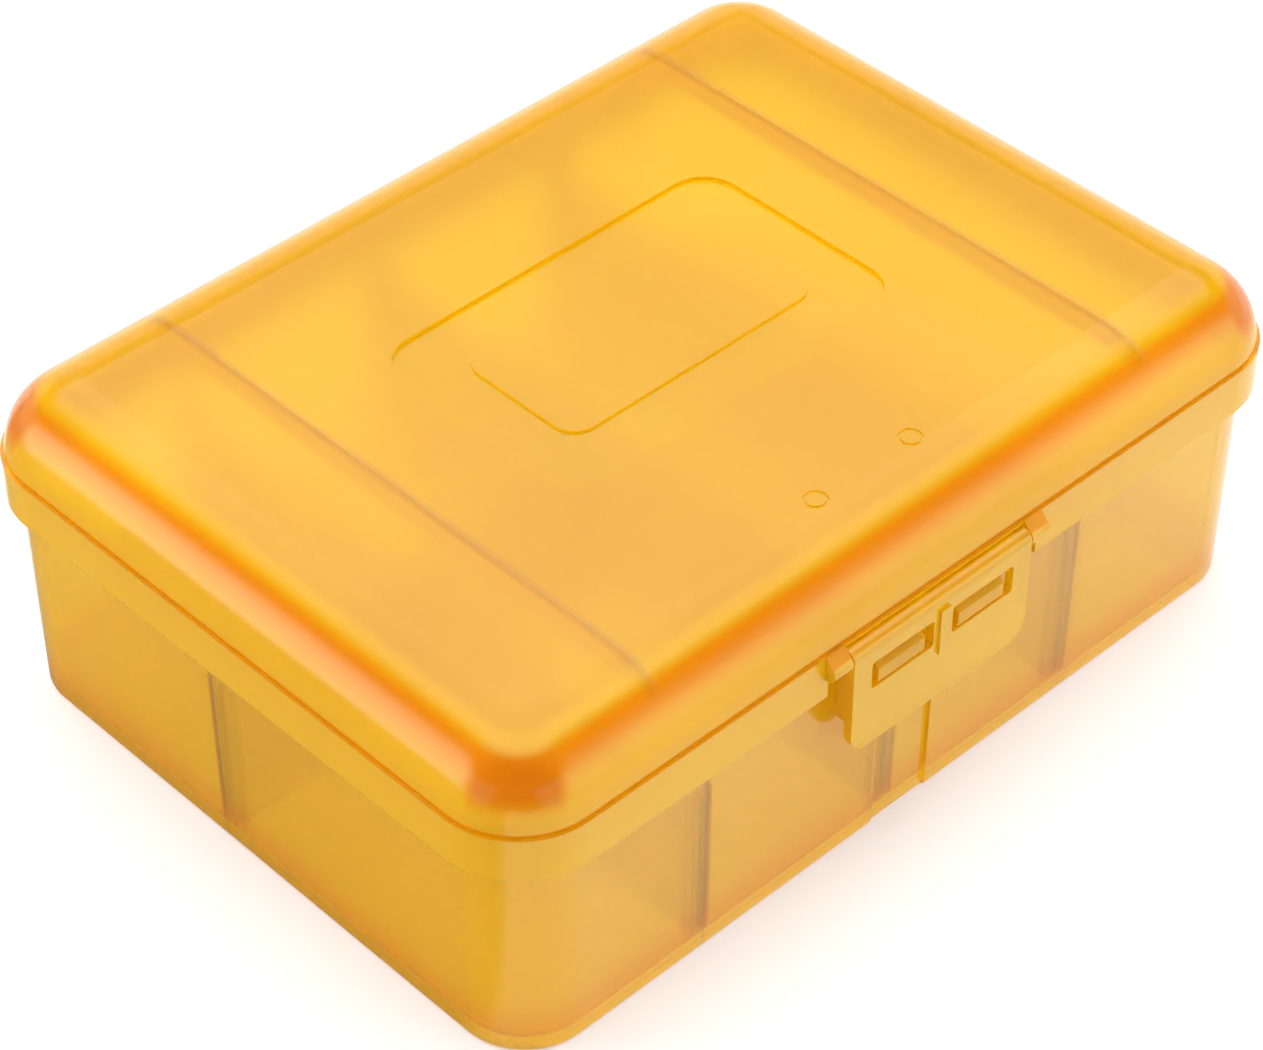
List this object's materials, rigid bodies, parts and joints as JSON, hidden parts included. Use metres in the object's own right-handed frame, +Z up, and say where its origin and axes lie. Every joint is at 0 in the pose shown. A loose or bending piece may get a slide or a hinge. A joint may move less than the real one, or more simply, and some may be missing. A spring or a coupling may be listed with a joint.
{
  "type": "lidded storage case",
  "caption": "Translucent rectangular storage case with hinged rounded lid, front snap latch and lift-out dividers.",
  "frame": {"origin": "centre of the base shell's flat underside", "axes": "+X along the case's length to the right seen from the latch side, -Y towards the latch, +Y towards the hinges, +Z up"},
  "size_m": [0.2, 0.158, 0.0712],
  "materials": {
    "lid_plastic": "translucent, glossy, smooth moulded",
    "base_plastic": "translucent, glossy, smooth moulded",
    "latch_plastic": "translucent, glossy, smooth moulded",
    "divider_plastic": "translucent, smooth moulded",
    "pin_steel": "drawn wire"
  },
  "bodies": {
    "base": {"base_shell": "base_plastic", "hinge_pin_left": "pin_steel", "hinge_pin_right": "pin_steel"},
    "lid": {"lid_shell": "lid_plastic"},
    "latch": {"latch_clip": "latch_plastic"},
    "divider_left": {"cross_divider_left": "divider_plastic"},
    "divider_centre": {"cross_divider_centre": "divider_plastic"},
    "divider_right": {"cross_divider_right": "divider_plastic"},
    "divider_long": {"long_divider": "divider_plastic"}
  },
  "joints": [
    {"name": "lid_hinge", "type": "hinge", "parent": "base", "child": "lid", "pos_m": [0, 0.0777, 0.048], "axis": [-1, 0, 0], "range_deg": [0, 110]},
    {"name": "latch_hinge", "type": "hinge", "parent": "lid", "child": "latch", "pos_m": [0, -0.0746, 0.053], "axis": [-1, 0, 0], "range_deg": [0, 100]},
    {"name": "divider_left_lift", "type": "slide", "parent": "base", "child": "divider_left", "axis": [0, 0, 1], "range_m": [0, 0.026]},
    {"name": "divider_centre_lift", "type": "slide", "parent": "base", "child": "divider_centre", "axis": [0, 0, 1], "range_m": [0, 0.016]},
    {"name": "divider_right_lift", "type": "slide", "parent": "base", "child": "divider_right", "axis": [0, 0, 1], "range_m": [0, 0.016]},
    {"name": "divider_long_lift", "type": "slide", "parent": "divider_left", "child": "divider_long", "axis": [0, 0, 1], "range_m": [0, 0.026]}
  ]
}
